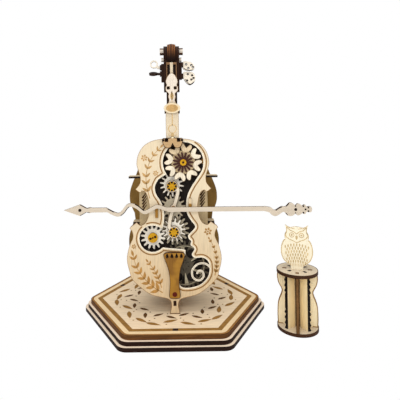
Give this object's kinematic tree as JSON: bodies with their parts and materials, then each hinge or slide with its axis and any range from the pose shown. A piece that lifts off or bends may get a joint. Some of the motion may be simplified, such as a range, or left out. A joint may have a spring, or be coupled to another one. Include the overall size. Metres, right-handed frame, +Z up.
{
  "type": "mechanical music box",
  "caption": "Laser-cut plywood music box shaped as a cello on a hexagonal stand, with open gears, a turning flower and a bow that moves, beside a small drum stool with an owl",
  "frame": {"origin": "centre of the hexagonal base's underside, where it stands on the table", "axes": "+Z up along the cello's neck, +X to the right as seen from the front, front faces -Y"},
  "size_m": [0.2482, 0.1722, 0.2827],
  "materials": {
    "pale_ply": "pale laser-cut plywood with scorched edges",
    "golden_ply": "golden-brown stained plywood",
    "brown_ply": "dark brown stained plywood",
    "olive_ply": "olive-brown stained plywood",
    "gold_caps": "yellow painted wooden caps",
    "red_pin": "dark red dyed dowel",
    "steel": "nickel-plated steel and zinc",
    "brass": "plain brass"
  },
  "bodies": {
    "stand": {"base_bottom_plate": "pale_ply", "base_middle_plate": "pale_ply", "base_top_plate": "pale_ply", "base_keys": "brown_ply", "foot_keel": "golden_ply", "front_plate": "pale_ply", "bearing_plate": "pale_ply", "back_plate": "olive_ply", "upper_shelf": "pale_ply", "lower_shelf": "pale_ply", "body_posts": "golden_ply", "tailpiece": "golden_ply", "tailpiece_pin": "red_pin", "bow_rests": "golden_ply", "gear_axles": "golden_ply", "idler_axle": "golden_ply", "axle_spacers": "pale_ply", "movement_bedplate": "steel", "movement_screws": "steel", "comb": "steel", "comb_screws": "brass", "neck_core": "brown_ply", "scroll_strips": "brown_ply", "pegbox_cheeks": "brown_ply", "pegbox_front": "pale_ply", "scroll_eyes": "brown_ply", "fingerboard": "pale_ply", "neck_collar": "pale_ply", "neck_medallion": "brown_ply", "neck_bracket": "golden_ply", "left_pegs": "brown_ply", "right_pegs": "pale_ply", "stool_plates": "pale_ply", "stool_side_fins": "pale_ply", "stool_diagonal_fins": "pale_ply", "owl": "pale_ply"},
    "drive": {"drive_gear": "golden_ply", "drive_cap": "gold_caps", "drive_arbor": "steel", "spring_barrel": "steel", "winding_key": "brass"},
    "lower_crank": {"crank_gear_lower": "pale_ply", "driven_wheel": "pale_ply", "crank_disc_lower": "pale_ply", "cap_lower": "gold_caps"},
    "upper_crank": {"crank_gear_upper": "pale_ply", "crank_disc_upper": "pale_ply", "cap_upper": "gold_caps"},
    "idler": {"idler_gear": "pale_ply"},
    "side_wheel": {"side_gear": "pale_ply", "side_cap": "gold_caps"},
    "flower": {"flower_gear": "pale_ply", "flower_petals": "pale_ply", "flower_daisy": "brown_ply", "flower_hub": "gold_caps"},
    "bow_and_link": {"bow_link": "pale_ply", "bow_post": "golden_ply", "bow": "pale_ply"},
    "cylinder": {"music_cylinder": "brass"},
    "governor": {"governor_fly": "brass"}
  },
  "joints": [
    {"name": "drive_spin", "type": "hinge", "parent": "stand", "child": "drive", "pos_m": [0.01052, -0.029, 0.05687], "axis": [0, -1, 0], "continuous": true},
    {"name": "lower_crank_spin", "type": "hinge", "parent": "stand", "child": "lower_crank", "pos_m": [0, -0.0315, 0.0938], "axis": [0, -1, 0], "continuous": true},
    {"name": "upper_crank_spin", "type": "hinge", "parent": "stand", "child": "upper_crank", "pos_m": [-0.00138, -0.0315, 0.14018], "axis": [0, -1, 0], "continuous": true},
    {"name": "idler_spin", "type": "hinge", "parent": "stand", "child": "idler", "pos_m": [-0.00069, -0.0315, 0.11699], "axis": [0, -1, 0], "continuous": true},
    {"name": "side_wheel_spin", "type": "hinge", "parent": "stand", "child": "side_wheel", "pos_m": [-0.02138, -0.0315, 0.0871], "axis": [0, -1, 0], "continuous": true},
    {"name": "flower_spin", "type": "hinge", "parent": "stand", "child": "flower", "pos_m": [0.01025, -0.0315, 0.16299], "axis": [0, -1, 0], "continuous": true},
    {"name": "link_pivot", "type": "hinge", "parent": "lower_crank", "child": "bow_and_link", "pos_m": [0, -0.034, 0.0922], "axis": [0, -1, 0], "continuous": true},
    {"name": "cylinder_spin", "type": "hinge", "parent": "stand", "child": "cylinder", "pos_m": [-0.00948, -0.0086, 0.05687], "axis": [1, 0, 0], "continuous": true},
    {"name": "governor_spin", "type": "hinge", "parent": "stand", "child": "governor", "pos_m": [-0.02648, -0.0145, 0.05687], "axis": [0, 0, 1], "continuous": true}
  ],
  "couplings": [
    {"joint": "lower_crank_spin", "follows": "drive_spin", "ratio": -1.6667},
    {"joint": "upper_crank_spin", "follows": "drive_spin", "ratio": -1.6667},
    {"joint": "idler_spin", "follows": "drive_spin", "ratio": 1.5556},
    {"joint": "side_wheel_spin", "follows": "drive_spin", "ratio": 1.6667},
    {"joint": "flower_spin", "follows": "drive_spin", "ratio": 1.2963},
    {"joint": "link_pivot", "follows": "drive_spin", "ratio": 1.6667},
    {"joint": "cylinder_spin", "follows": "drive_spin", "ratio": 5},
    {"joint": "governor_spin", "follows": "drive_spin", "ratio": 40}
  ]
}
